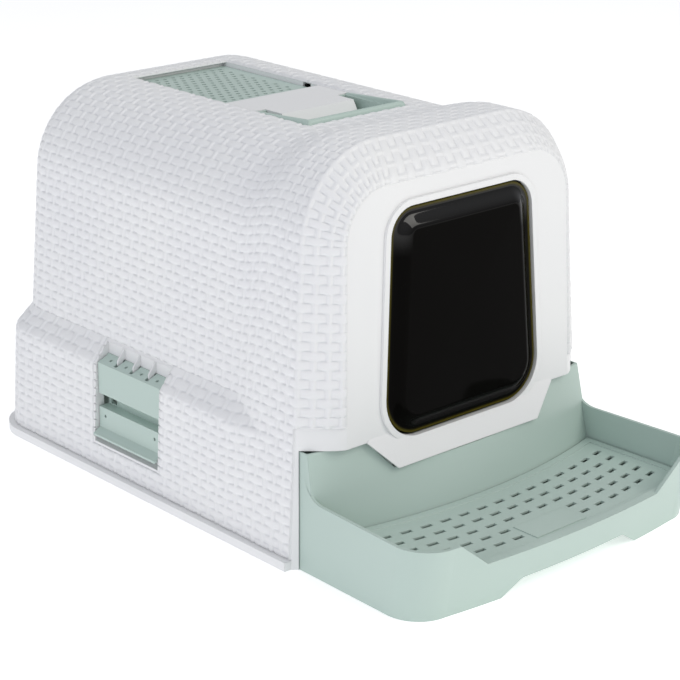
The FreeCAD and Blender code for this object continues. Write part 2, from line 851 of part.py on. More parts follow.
def finger_notch():
    """Low cut with soft ends in the foot of the porch's front wall, for lifting and pulling the drawer."""
    low = S.notch_width / 2
    high = low - S.notch_slope
    out = low + S.notch_slope
    depth = porch_front - S.overrun
    floor = -S.drawer_gap
    corners = [
        Vector(-out, depth, -S.overrun),
        Vector(-out, depth, floor),
        Vector(-low, depth, floor),
        Vector(-high, depth, S.notch_height),
        Vector(high, depth, S.notch_height),
        Vector(low, depth, floor),
        Vector(out, depth, floor),
        Vector(out, depth, -S.overrun),
    ]
    soft = S.notch_round
    wire = rounded_outline(corners, [0, 0, soft, soft, soft, soft, 0, 0])
    return prism(wire, Vector(0, S.overrun + S.porch_bow + S.porch_round, 0))


pan_half = skirt_half - S.pan_side_gap
pan_rear = skirt_rear - S.skirt_lean - S.hood_wall - S.pan_rear_gap - S.pan_rim_reach
head_back = front + S.cheek_reach


def pan_block(half, back, radius, low, high, start):
    """Upright solid with the pan's plan, square in front and rounded at the back."""
    return prism(skirt_plan(half, back, radius, low, start), Vector(0, 0, high - low))


def drawer():
    """Litter pan, chute wall and porch."""
    wall = S.drawer_wall
    chute_run = (S.chute_foot - S.chute_head) / (S.mouth_height - grid_bottom)
    chute_wall = wall * math.hypot(1, chute_run)
    high = S.mouth_height + S.overrun
    back = head_back + S.overrun
    reach = S.hood_width

    voids = [
        porch_solid(S.porch_wall + S.grid_seat, S.porch_floor + wall, grid_ledge, back),
        lip_room(S.porch_wall, grid_ledge, S.lip_height, back),
        porch_solid(S.porch_wall, S.lip_height, high, back),
        porch_solid(S.porch_wall, -S.overrun, S.porch_floor, back),
    ]
    whole = porch_solid(0, 0, S.mouth_height - S.drawer_gap, head_back)
    porch = whole.cut(voids + wall_trim() + [finger_notch()])

    mouth = prism(mouth_wire(S.drawer_gap, front - reach), Vector(0, reach + S.cheek_reach, 0))
    chute = behind_chute(0, 0).common(whole).common(mouth)

    pan = pan_block(pan_half, pan_rear, S.pan_round, 0, S.pan_height, front)
    rim = pan_block(pan_half + S.pan_rim_reach, pan_rear + S.pan_rim_reach, S.pan_round + S.pan_rim_reach,
                    S.pan_height, S.pan_height + wall, head_back - wall)

    behind = behind_chute(chute_wall, wall)
    cheek_room = behind.common(porch_solid(wall, wall, high, head_back - wall))
    pan_room = pan_block(pan_half - wall, pan_rear - wall, S.pan_round - wall, wall, high, front)
    front_room = behind.common(block(Vector(wall - pan_half, front - reach, wall),
                                     Vector(pan_half - wall, back, high)))
    return porch.fuse([chute, pan, rim]).cut([cheek_room, pan_room, front_room])


box_drawer = add_piece("drawer", drawer())


# Step grid that drops into the porch

def grid_form(inset, low, high):
    """Plan of the porch floor between the chute wall and the lip, drawn in by inset, as a solid."""
    form = lip_room(S.porch_wall + inset, low, high, head_back)
    return form.cut(behind_chute(-inset, -S.overrun))


def grid_slot(x, y, slope):
    """Cutter for one slot, turned to follow its row."""
    half = Vector(S.slot_length / 2, S.slot_width / 2, S.overrun)
    slot = block(half * -1, half)
    slot.rotate(Vector(0, 0, 0), Vector(0, 0, 1), math.degrees(math.atan(slope)))
    slot.translate(Vector(x, y, S.grid_top))
    return slot


def step_grid():
    """Slotted plate with a raised border and a bare pad in the middle of its front."""
    border = S.grid_gap + S.grid_border
    field_top = S.grid_top - S.field_sink
    plate = grid_form(S.grid_gap, grid_bottom, S.grid_top)
    field = grid_form(border, grid_bottom, S.grid_top)
    sunk = grid_form(border, field_top, S.grid_top + S.overrun)
    rear_edge = front - S.chute_foot
    front_edge = porch_front + S.lip_width
    pad_front = front_edge + S.pad_inset
    pad_rear = pad_front + S.pad_length
    pad_half = S.pad_width / 2
    name_pad = block(Vector(-pad_half, pad_front, grid_bottom), Vector(pad_half, pad_rear, S.grid_top))
    cutters = []
    rows = int((rear_edge - front_edge - S.row_inset - border) / S.row_pitch) + 1
    columns = int(porch_half / S.slot_pitch)
    for row in range(rows):
        for column in range(-columns, columns + 1):
            x = column * S.slot_pitch
            y = rear_edge - S.row_inset - row * S.row_pitch + S.row_bow * (x / porch_half) ** 2
            on_pad = abs(x) < pad_half and y < pad_rear + S.slot_width
            slot = grid_slot(x, y, 2 * S.row_bow * x / porch_half ** 2)
            inside = all(field.isInside(Vector(corner.X, corner.Y, field_top), S.fit_gap, True)
                         for corner in slot.Vertexes)
            if inside and not on_pad:
                cutters.append(slot)
    return plate.cut(sunk.cut(name_pad)).cut(Part.makeCompound(cutters))


grid = add_piece("step_grid", step_grid())


# Vent grille: perforated lid with two stub pins at its front edge

def vent_grille():
    """Thin plate with rows of round holes, staggered, and stub pins that turn in the recess walls."""
    half = recess_half - S.fit_gap
    start = deck_rear + S.fit_gap
    end = recess_rear - S.fit_gap
    lid = outline(
        Vector(-half, end, grille_seat),
        Vector(-half, start, grille_seat),
        Vector(half, start, grille_seat),
        Vector(half, end, grille_seat),
    )
    wires = [lid]
    row_pitch = S.vent_pitch * math.sqrt(3) / 2
    rows = int((end - start - 2 * S.vent_border) / row_pitch)
    columns = int((2 * half - 2 * S.vent_border) / S.vent_pitch)
    middle = (start + end) / 2
    for row in range(rows):
        y = middle + (row - (rows - 1) / 2) * row_pitch
        for column in range(columns - row % 2):
            x = (column - (columns - row % 2 - 1) / 2) * S.vent_pitch
            ring = Part.Circle(Vector(x, y, grille_seat), Vector(0, 0, 1), S.vent_hole / 2).toShape()
            wires.append(Part.Wire([ring]))
    plate = Part.Face(wires, "Part::FaceMakerBullseye").extrude(Vector(0, 0, S.grille_thickness))
    reach = S.hinge_pin_reach + S.fit_gap / 2
    pin_half = recess_half + reach - S.fit_gap
    along = Vector(1, 0, 0)
    pins = Part.makeCylinder(S.hinge_pin_radius, 2 * pin_half,
                             Vector(-pin_half, grille_axis_y, grille_axis_z), along)
    barrel = Part.makeCylinder(S.grille_thickness / 2, 2 * half,
                               Vector(-half, grille_axis_y, grille_axis_z), along)
    square_edge = block(Vector(-half, start - S.overrun, grille_seat - S.overrun),
                        Vector(half, grille_axis_y, grille_top + S.overrun))
    return plate.cut(square_edge).fuse([barrel, pins])


grille = add_piece("vent_grille", vent_grille())


# Sketched bodies: filter pad, handle, finger cup, latches and flap

def origin_plane(body, role):
    """Origin plane of a body by its role."""
    return next(feature for feature in body.Origin.OriginFeatures if feature.Role == role)


def number(expression):
    """Value of an expression on the sheet's cells."""
    return float(sheet.evalExpression(expression))


def new_sketch(body, name, role, offset):
    """Empty sketch on one of the body's origin planes, moved off it along its normal by an expression."""
    sketch = body.newObject("Sketcher::SketchObject", name)
    sketch.AttachmentSupport = [(origin_plane(body, role), "")]
    sketch.MapMode = "FlatFace"
    if offset:
        sketch.setExpression("AttachmentOffset.Base.z", offset)
    return sketch


def sketch_outline(body, name, role, corners, offset=""):
    """Sketch of straight runs whose corners stand at pairs of expressions."""
    sketch = new_sketch(body, name, role, offset)
    places = [Vector(number(across), number(along), 0) for across, along in corners]
    count = len(corners)
    for index, place in enumerate(places):
        sketch.addGeometry(Part.LineSegment(place, places[(index + 1) % count]), False)
    for index in range(count):
        sketch.addConstraint(Sketcher.Constraint("Coincident", index, 2, (index + 1) % count, 1))
    for index, (across, along) in enumerate(corners):
        bind(sketch, ("DistanceX", -1, 1, index, 1), across)
        bind(sketch, ("DistanceY", -1, 1, index, 1), along)
    return sketch


def sketch_circles(body, name, role, centres, radius, offset=""):
    """Sketch of equal circles whose centres stand at pairs of expressions."""
    sketch = new_sketch(body, name, role, offset)
    for index, (across, along) in enumerate(centres):
        place = Vector(number(across), number(along), 0)
        sketch.addGeometry(Part.Circle(place, Vector(0, 0, 1), number(radius)), False)
        bind(sketch, ("DistanceX", -1, 1, index, 3), across)
        bind(sketch, ("DistanceY", -1, 1, index, 3), along)
        bind(sketch, ("Radius", index), radius)
    return sketch


def bind(sketch, terms, expression):
    """Constraint of a sketch whose value is bound to an expression."""
    constraint = sketch.addConstraint(Sketcher.Constraint(*terms, number(expression)))
    sketch.setExpression(f"Constraints[{constraint}]", expression)


def pad(body, sketch, name, length, both_sides=False, turned=False):
    """Pad of a sketch by an expression."""
    feature = body.newObject("PartDesign::Pad", name)
    feature.Profile = sketch
    feature.setExpression("Length", length)
    feature.Midplane = both_sides
    feature.Reversed = turned
    doc.recompute()
    return feature


def pocket(body, sketch, name, length, both_sides=False, turned=False):
    """Pocket of a sketch by an expression; it has to take material away."""
    before = body.Shape.Volume
    feature = body.newObject("PartDesign::Pocket", name)
    feature.Profile = sketch
    feature.setExpression("Length", length)
    feature.Midplane = both_sides
    feature.Reversed = turned
    doc.recompute()
    if body.Shape.Volume >= before:
        raise RuntimeError(f"{name} cuts nothing")
    return feature


def new_body(label, y_expression):
    """Body whose own origin stands at a place along Y."""
    body = doc.addObject("PartDesign::Body", label)
    body.Label = label
    body.setExpression("Placement.Base.y", y_expression)
    return body


def rectangle(left, right, low, high):
    """Four corners of an upright rectangle, as expressions."""
    return [(left, low), (right, low), (right, high), (left, high)]


FRONT = "(sizes.porch_reach - sizes.hood_length) / 2"
BODY_TOP = "(sizes.hood_height - sizes.bezel_flare)"
DECK_FRONT = f"({FRONT} + sizes.recess_front + sizes.cup_length)"
DECK_REAR = f"({DECK_FRONT} + sizes.deck_length)"
GRILLE_SEAT = f"({BODY_TOP} - sizes.grille_drop - sizes.grille_thickness)"
DECK_SEAT = f"({BODY_TOP} - sizes.handle_thickness)"


# Filter pad: carbon felt in the well under the grille
filter_pad = new_body("filter_pad", f"{DECK_REAR} + sizes.grille_length / 2")
PAD_HALF = "(sizes.recess_width / 2 - sizes.ledge_width - sizes.fit_gap)"
PAD_REACH = "(sizes.grille_length / 2 - sizes.ledge_width - sizes.fit_gap)"
PAD_TOP = f"({GRILLE_SEAT} - sizes.fit_gap)"
pad_face = sketch_outline(filter_pad, "pad_face", "XZ_Plane", rectangle(
    f"-{PAD_HALF}", PAD_HALF, f"{PAD_TOP} - sizes.filter_thickness", PAD_TOP))
pad(filter_pad, pad_face, "pad_felt", f"2 * {PAD_REACH}", both_sides=True)


# Carry handle: plate over the deck with a tongue whose edge turns down over the finger cup
carry_handle = new_body("carry_handle", DECK_FRONT)
HANDLE_REAR = "(sizes.deck_length - sizes.fit_gap)"
plate_face = sketch_outline(carry_handle, "plate_face", "YZ_Plane", rectangle(
    "sizes.fit_gap", HANDLE_REAR, DECK_SEAT, BODY_TOP))
pad(carry_handle, plate_face, "plate", "sizes.recess_width - 2 * sizes.fit_gap", both_sides=True)
SHEET = "sizes.handle_thickness"
tongue_face = sketch_outline(carry_handle, "tongue_face", "YZ_Plane", [
    ("sizes.deck_length / 2", BODY_TOP),
    ("-sizes.tongue_reach", BODY_TOP),
    ("-sizes.tongue_reach - sizes.tongue_facet", f"{BODY_TOP} - sizes.tongue_depth"),
    (f"{SHEET} - sizes.tongue_reach - sizes.tongue_facet", f"{BODY_TOP} - sizes.tongue_depth"),
    (f"{SHEET} - sizes.tongue_reach", DECK_SEAT),
    ("sizes.deck_length / 2", DECK_SEAT),
])
pad(carry_handle, tongue_face, "tongue", "sizes.tongue_width", both_sides=True)


# Finger cup: basin with a flat flange that rests on the rim of the cup opening
handle_cup = new_body("handle_cup", DECK_FRONT)
FLANGE_HALF = "(sizes.recess_width / 2 - sizes.fit_gap)"
CUP_HALF = "(sizes.recess_width / 2 - sizes.ledge_width - sizes.fit_gap)"
FLANGE_FRONT = "(sizes.fit_gap - sizes.cup_length)"
CUP_FRONT = "(sizes.ledge_width + sizes.fit_gap - sizes.cup_length)"
FLANGE_TOP = f"({DECK_SEAT} + sizes.cup_wall)"
CUP_FLOOR = f"({DECK_SEAT} - sizes.cup_depth)"
flange_face = sketch_outline(handle_cup, "flange_face", "YZ_Plane", rectangle(
    FLANGE_FRONT, "-sizes.fit_gap", DECK_SEAT, FLANGE_TOP))
pad(handle_cup, flange_face, "flange", f"2 * {FLANGE_HALF}", both_sides=True)
basin_face = sketch_outline(handle_cup, "basin_face", "YZ_Plane", [
    (CUP_FRONT, FLANGE_TOP),
    (f"{CUP_FRONT} + sizes.cup_taper", CUP_FLOOR),
    ("-sizes.fit_gap", CUP_FLOOR),
    ("-sizes.fit_gap", FLANGE_TOP),
])
pad(handle_cup, basin_face, "basin", f"2 * {CUP_HALF}", both_sides=True)
hollow_face = sketch_outline(handle_cup, "hollow_face", "YZ_Plane", [
    (f"{CUP_FRONT} + sizes.cup_wall", f"{FLANGE_TOP} + sizes.overrun"),
    (f"{CUP_FRONT} + sizes.cup_wall", DECK_SEAT),
    (f"{CUP_FRONT} + sizes.cup_wall + sizes.cup_taper", f"{CUP_FLOOR} + sizes.cup_wall"),
    ("-sizes.fit_gap - sizes.cup_wall", f"{CUP_FLOOR} + sizes.cup_wall"),
    ("-sizes.fit_gap - sizes.cup_wall", f"{FLANGE_TOP} + sizes.overrun"),
])
pocket(handle_cup, hollow_face, "hollow", f"2 * ({CUP_HALF} - sizes.cup_wall)", both_sides=True)
tongue_room = sketch_outline(handle_cup, "tongue_room", "YZ_Plane", rectangle(
    "-2 * sizes.fit_gap - sizes.cup_wall", "sizes.overrun",
    f"{DECK_SEAT} - sizes.fit_gap", f"{FLANGE_TOP} + sizes.overrun"))
pocket(handle_cup, tongue_room, "tongue_cut", "sizes.tongue_width + 2 * sizes.fit_gap", both_sides=True)


# Side latches: one bent sheet with tabs on a hinge rod, a hook channel and a pull lip
SKIRT_HALF = "(sizes.hood_width / 2 - sizes.rim_reach)"
LATCH_FACE = f"({SKIRT_HALF} - sizes.skirt_lean - sizes.latch_face_inset)"
BODY_HALF = f"({SKIRT_HALF} - sizes.skirt_lean - sizes.shoulder_reach)"
PIN_X = f"({BODY_HALF} - sizes.hood_wall / 2 + sizes.pin_radius)"
PIN_Z = "(sizes.latch_bend + sizes.latch_tab_rise)"


MIDDLE_SHARE = 0.5
TAB_DOT_SHARES = (-0.375, -0.125, 0.125, 0.375)
PLATE_DOT_SHARES = (-0.4, 0.4)
HOOK_HOLE_SHARES = (0.36, 0.45)


def latch(label, side):
    """One latch, side -1 on the left and 1 on the right."""
    body = new_body(label, f"{FRONT} + sizes.latch_front + sizes.latch_length / 2")

    def out(reach):
        return f"{side} * ({reach})"

    thick = "sizes.latch_sheet"
    profile = sketch_outline(body, "profile", "XZ_Plane", [
        (out(PIN_X), f"{PIN_Z} + sizes.pin_radius"),
        (out(LATCH_FACE), "sizes.latch_bend"),
        (out(LATCH_FACE), "sizes.channel_top"),
        (out(f"{LATCH_FACE} - sizes.channel_depth + {thick}"), "sizes.channel_top"),
        (out(f"{LATCH_FACE} - sizes.channel_depth + {thick}"), "sizes.channel_bottom"),
        (out(LATCH_FACE), "sizes.channel_bottom"),
        (out(LATCH_FACE), "sizes.latch_foot"),
        (out(f"{LATCH_FACE} + sizes.lip_reach"), "sizes.latch_foot - sizes.lip_drop"),
        (out(f"{LATCH_FACE} + sizes.lip_reach"), f"sizes.latch_foot - sizes.lip_drop - {thick}"),
        (out(f"{LATCH_FACE} - {thick}"), f"sizes.latch_foot - {thick}"),
        (out(f"{LATCH_FACE} - {thick}"), f"sizes.channel_bottom - {thick}"),
        (out(f"{LATCH_FACE} - sizes.channel_depth"), f"sizes.channel_bottom - {thick}"),
        (out(f"{LATCH_FACE} - sizes.channel_depth"), f"sizes.channel_top + {thick}"),
        (out(f"{LATCH_FACE} - {thick}"), f"sizes.channel_top + {thick}"),
        (out(f"{LATCH_FACE} - {thick}"), f"sizes.latch_bend - {thick}"),
        (out(PIN_X), f"{PIN_Z} - sizes.pin_radius"),
    ])
    pad(body, profile, "sheet", "sizes.latch_length", both_sides=True)
    rod = sketch_circles(body, "rod_end", "XZ_Plane", [(out(PIN_X), PIN_Z)], "sizes.pin_radius")
    rod_length = "sizes.latch_length + 2 * (sizes.pin_reach + sizes.latch_gap - sizes.fit_gap)"
    pad(body, rod, "rod", rod_length, both_sides=True)
    inward = side < 0
    slot_half = "(sizes.rib_thickness / 2 + sizes.latch_gap)"
    for number_of_slot, share in enumerate(RIB_SHARES, start=1):
        middle = f"({share} - {MIDDLE_SHARE}) * sizes.latch_length"
        slot = sketch_outline(body, f"slot_{number_of_slot}", "YZ_Plane", rectangle(
            f"{middle} - {slot_half}", f"{middle} + {slot_half}",
            f"sizes.latch_bend - 2 * {thick}", f"{PIN_Z} + sizes.overrun"), out(f"{LATCH_FACE} - {thick}"))
        pocket(body, slot, f"slot_cut_{number_of_slot}", "sizes.overrun", turned=inward)
    hook_hole = sketch_outline(body, "hook_hole", "YZ_Plane", rectangle(
        f"sizes.latch_length * {HOOK_HOLE_SHARES[0]}", f"sizes.latch_length * {HOOK_HOLE_SHARES[1]}",
        f"sizes.channel_bottom + {thick} / 2", f"sizes.channel_top - {thick} / 2"), out(LATCH_FACE))
    pocket(body, hook_hole, "hook_hole_cut", "sizes.overrun", turned=inward)
    dots = [(f"{share} * sizes.latch_length", f"(sizes.latch_foot + sizes.channel_bottom) / 2 + {thick}")
            for share in PLATE_DOT_SHARES]
    plate_dots = sketch_circles(body, "plate_dots", "YZ_Plane", dots, "sizes.dot_radius", out(LATCH_FACE))
    pocket(body, plate_dots, "plate_dot_cut", f"2 * {thick}", turned=inward)
    dots = [(out(f"({LATCH_FACE} + {PIN_X}) / 2"), f"{share} * sizes.latch_length")
            for share in TAB_DOT_SHARES]
    over_tabs = f"{PIN_Z} + 2 * sizes.pin_radius"
    tab_dots = sketch_circles(body, "tab_dots", "XY_Plane", dots, "sizes.dot_radius", over_tabs)
    pocket(body, tab_dots, "tab_dot_cut", "sizes.overrun / 2")
    return body


latches = [latch("latch_left", -1), latch("latch_right", 1)]


# Door flap: smoke sheet with a bulging middle, hung on two stub pins

def door_flap():
    """Flap drawn upright at its pivot, then leaned back with the front panel."""
    thick = S.flap_thickness
    face = -S.pivot_depth
    gap = S.flap_gap
    border = gap + S.flap_border
    sheet_solid = prism(door_wire(-gap, face), Vector(0, thick, 0))
    raised = Part.makeLoft([door_wire(-border, face),
                            door_wire(-border - S.flap_bulge, face - S.flap_bulge)], True)
    hollow = Part.makeLoft([door_wire(-border - thick, face + thick),
                            door_wire(-border - S.flap_bulge - thick, face - S.flap_bulge + thick)], True)
    hub_end = door_half(pivot_height, gap) - gap
    pin_end = pivot_half + gap + S.pivot_reach - S.fit_gap
    turning = []
    for side in (-1, 1):
        start = Vector(side * (hub_end - S.hub_length), 0, pivot_height)
        along = Vector(side, 0, 0)
        turning.append(Part.makeCylinder(S.pivot_radius + S.hub_wall, S.hub_length, start, along))
        turning.append(Part.makeCylinder(S.pivot_radius, pin_end - hub_end + S.hub_length, start, along))
    flap = sheet_solid.fuse(raised).cut(hollow).fuse(turning)
    flap.translate(Vector(0, 0, -pivot_height))
    flap.rotate(Vector(0, 0, 0), Vector(1, 0, 0), -math.degrees(math.atan(lean)))
    flap.translate(Vector(0, pivot_y, pivot_height))
    return flap


flap = add_piece("door_flap", door_flap())


doc.recompute()
pieces = [hood, box_drawer, grid, grille, filter_pad, carry_handle, handle_cup, flap] + latches
for item in doc.Objects:
    if "Invalid" in item.State or "Error" in item.State:
        raise RuntimeError(f"{item.Label} failed: {item.State}")
for piece in pieces:
    if piece.Shape.isNull() or not piece.Shape.isValid():
        raise RuntimeError(f"{piece.Label} has no valid shape")
os.makedirs("parts", exist_ok=True)
for piece in pieces:
    piece.Shape.exportStep(f"parts/{piece.Label}.step")
    print(piece.Label, len(piece.Shape.Solids), round(piece.Shape.Volume), piece.Shape.BoundBox)
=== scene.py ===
import math

import bpy
import numpy as np
from mathutils import Matrix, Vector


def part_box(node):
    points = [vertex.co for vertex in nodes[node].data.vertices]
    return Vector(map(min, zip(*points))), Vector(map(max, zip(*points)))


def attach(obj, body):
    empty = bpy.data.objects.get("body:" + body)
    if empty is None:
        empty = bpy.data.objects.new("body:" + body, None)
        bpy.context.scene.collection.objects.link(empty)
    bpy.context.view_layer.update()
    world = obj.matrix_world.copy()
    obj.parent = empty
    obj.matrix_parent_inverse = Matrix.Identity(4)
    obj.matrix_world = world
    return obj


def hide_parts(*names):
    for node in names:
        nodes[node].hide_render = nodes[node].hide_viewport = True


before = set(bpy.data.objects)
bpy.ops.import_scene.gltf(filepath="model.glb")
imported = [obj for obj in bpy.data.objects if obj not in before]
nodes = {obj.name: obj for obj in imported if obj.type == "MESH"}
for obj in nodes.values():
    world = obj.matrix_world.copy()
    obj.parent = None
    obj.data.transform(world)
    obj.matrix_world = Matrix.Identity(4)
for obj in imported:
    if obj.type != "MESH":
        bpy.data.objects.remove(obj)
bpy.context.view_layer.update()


# Hood shell. One white polypropylene moulding that carries all the rest. Its smooth parts show the CAD surface
# itself: the front panel, the sill, the door rim, the roof recess and the latch pockets.

def linear(hex_colour):
    """sRGB hex colour as the linear RGBA that shader sockets take."""
    srgb = np.array([int(hex_colour[place:place + 2], 16) for place in (0, 2, 4)]) / 255
    line = np.where(srgb <= 0.04045, srgb / 12.92, ((srgb + 0.055) / 1.055) ** 2.4)
    return (*line.tolist(), 1.0)


def add_node(tree, kind, inputs=None, links=None, **settings):
    """Shader node of one kind, with its settings, the values on its inputs and the links into them."""
    node = tree.nodes.new(kind)
    for name, value in settings.items():
        setattr(node, name, value)
    for name, value in (inputs or {}).items():
        node.inputs[name].default_value = value
    for name, source in (links or {}).items():
        tree.links.new(source, node.inputs[name])
    return node


def new_material(name):
    """Empty material, its node tree and the Principled shader that its output shows."""
    material = bpy.data.materials.new(name)
    material.use_nodes = True
    tree = material.node_tree
    return material, tree, tree.nodes["Principled BSDF"]


def moulding(name, colour, shade, roughness, hollow_shade=None):
    """Injection-moulded plastic: a spark-eroded grain, soft edges and faint flow marks.

    The grain breaks up highlights, and the flow marks shift colour and gloss a little over a hand's width.
    The hollow shade, where one is given, is painted shade: greyer low in a relief that has a rise attribute.
    """
    grain_mm = 0.7
    grain_depth_mm = 0.025
    flow_mm = 110
    edge_mm = 0.9
    hollow_shade_share = 0.6
    material, tree, shader = new_material(name)
    place = add_node(tree, "ShaderNodeTexCoord").outputs["Object"]
    grain = add_node(tree, "ShaderNodeTexNoise", {"Scale": 1000 / grain_mm, "Detail": 2.0}, {"Vector": place})
    flow = add_node(tree, "ShaderNodeTexNoise", {"Scale": 1000 / flow_mm, "Detail": 1.0}, {"Vector": place})
    tint = add_node(tree, "ShaderNodeMixRGB", {"Color1": linear(colour), "Color2": linear(shade)},
                    {"Fac": flow.outputs["Fac"]}).outputs["Color"]
    # Painted shade: the colour turns greyer towards the low places of the relief.
    if hollow_shade:
        rise = add_node(tree, "ShaderNodeAttribute", attribute_name="rise")
        depth = add_node(tree, "ShaderNodeMapRange", {"From Max": hollow_shade_share}, {"Value": rise.outputs["Fac"]})
        tint = add_node(tree, "ShaderNodeMixRGB", {"Color1": linear(hollow_shade)},
                        {"Fac": depth.outputs["Result"], "Color2": tint}).outputs["Color"]
    gloss = add_node(tree, "ShaderNodeMapRange", {"To Min": roughness - 0.05, "To Max": roughness + 0.05},
                     {"Value": flow.outputs["Fac"]})
    soft_edge = add_node(tree, "ShaderNodeBevel", {"Radius": edge_mm / 1000}, samples=4)
    relief = add_node(tree, "ShaderNodeBump", {"Strength": 0.5, "Distance": grain_depth_mm / 1000},
                      {"Height": grain.outputs["Fac"], "Normal": soft_edge.outputs["Normal"]})
    tree.links.new(tint, shader.inputs["Base Color"])
    tree.links.new(gloss.outputs["Result"], shader.inputs["Roughness"])
    tree.links.new(relief.outputs["Normal"], shader.inputs["Normal"])
    return material


def dress(names, material):
    """Puts one material on every slot of the named CAD nodes."""
    for name in names:
        for slot in nodes[name].material_slots:
            slot.material = material


white_smooth = moulding("white_polypropylene_injection_moulded", "EFEFEE", "E9E9EA", 0.42)
dress(["hood_shell"], white_smooth)


# Hood weave. The same moulding's basket-weave relief: strips run along the box and bow over one upright in two,
# and short bars of the uprights show where a strip dives. It covers the hood from the foot rim over the roof,
# round the rear edge and over the flared front to the smooth panel.

STRIP_PITCH = 8.3
STAKE_PITCH = 13.3
STRIP_START = 14.2
STRIP_RISE = 2.0
BAR_RISE = 2.2
SKIN_LIFT = 0.35
SKIN_SINK = 0.8


def mix(start, end, share):
    """Value the given share of the way from start to end."""
    return start + (end - start) * share


def eased(share):
    """Share that starts and ends with no slope, held between 0 and 1."""
    held = np.clip(share, 0, 1)
    return held * held * (3 - 2 * held)


def weave(across, along):
    """Height of the weave: each strip is a bow along two uprights' pitch, odd strips shifted by one upright,
    and an upright's bar is a round ridge where the strip has dived. The joint between strips is shallow at the
    uprights, where bow and bar run on as one ridge, and deep midway, where it shows as a short dark tick."""
    place = (across - STRIP_START) / STRIP_PITCH
    strip_number = np.floor(place)
    aside = np.abs(2 * (place - strip_number) - 1)
    away = np.abs(np.mod(along / STAKE_PITCH + strip_number + 1, 2) - 1)
    bow_share = 0.96
    bar_share = 0.27
    joint_shallow = 0.2
    joint_deep = 0.85
    bow = np.clip(1 - (away / bow_share) ** 3, 0, 1)
    bar = np.clip(1 - ((1 - away) / bar_share) ** 2, 0, 1)
    joint = mix(joint_shallow, joint_deep, np.sin(math.pi * away) ** 2)
    return np.maximum(STRIP_RISE * bow, BAR_RISE * bar) * (1 - joint * aside ** 4)


def stations(start, end, origin, pitch, shares, stops):
    """Sample places from start to end: the same shares of every pitch from an origin, and the stops."""
    steps = np.arange(math.floor((start - origin) / pitch), math.ceil((end - origin) / pitch))
    places = origin + ((steps[:, None] + shares) * pitch).ravel()
    places = places[(places > start) & (places < end)]
    return np.unique(np.concatenate([places, [start, end], stops]))


# Form of the hood in millimetres, as in the CAD: foot rim, skirt, shoulder, leaning body, flare and front
FRONT = -151.5
FRONT_LEAN = 16 / 380
FOOT = 9.4
SKIRT_LEVELS = (0, 115, 137, 150)
SKIRT_HALVES = (192, 187.5, 170.2, 150)
SKIRT_REARS = (320.5, 316, 305, 304.6)
BODY_TOP = 368
BODY_LOW = 180.2
BODY_HIGH = 155.5
BODY_REAR_TOP = 298
REAR_ROUND = 40
CROWN = 88
BEZEL_LOW = 192.6
BEZEL_HIGH = 161.6
HOOD_TOP = 380
CREST = 48
FADE = 62
PANEL_LOW = 150.5
PANEL_HIGH = 140
PANEL_TOP = 346
PANEL_ROUND = 48
BULGE = 29.5
BAND = 46
BAND_FULLNESS = 0.33
BAND_FULLNESS_GAIN = 0.22
SHOULDER_FADE_END = 86
SHOULDER_DRAWN = 6.5
SKIRT_ROUND = 44
EVEN_END = 311.5
ROUND_START = 416.5
ROUND_END = ROUND_START + REAR_ROUND * math.pi / 2


def arch(climb, low, slope, top, radius):
    """Half of an arched section: climb 0 to 1 goes up the leaning side, 1 to 2 round the crown and 2 to 3
    along the flat roof to the middle."""
    tilt = np.arctan(slope)
    hub_x = low - slope * top - radius / np.tan(math.pi / 4 + tilt / 2)
    hub_z = top - radius
    turn = mix(tilt, math.pi / 2, np.clip(climb - 1, 0, 1))
    side_z = mix(FOOT, hub_z + radius * np.sin(tilt), np.clip(climb, 0, 1))
    x = np.where(climb < 1, low - slope * side_z, hub_x + radius * np.cos(turn))
    z = np.where(climb < 1, side_z, hub_z + radius * np.sin(turn))
    return np.where(climb > 2, hub_x * (3 - climb), x), z


def rear_places(z):
    """Rear face of the hood and the radius of its upright edges at one height."""
    levels = (*SKIRT_LEVELS[:3], BODY_TOP)
    face = np.interp(z, levels, (*SKIRT_REARS[:3], BODY_REAR_TOP))
    return face, np.interp(z, levels, (SKIRT_ROUND, SKIRT_ROUND, REAR_ROUND, REAR_ROUND))


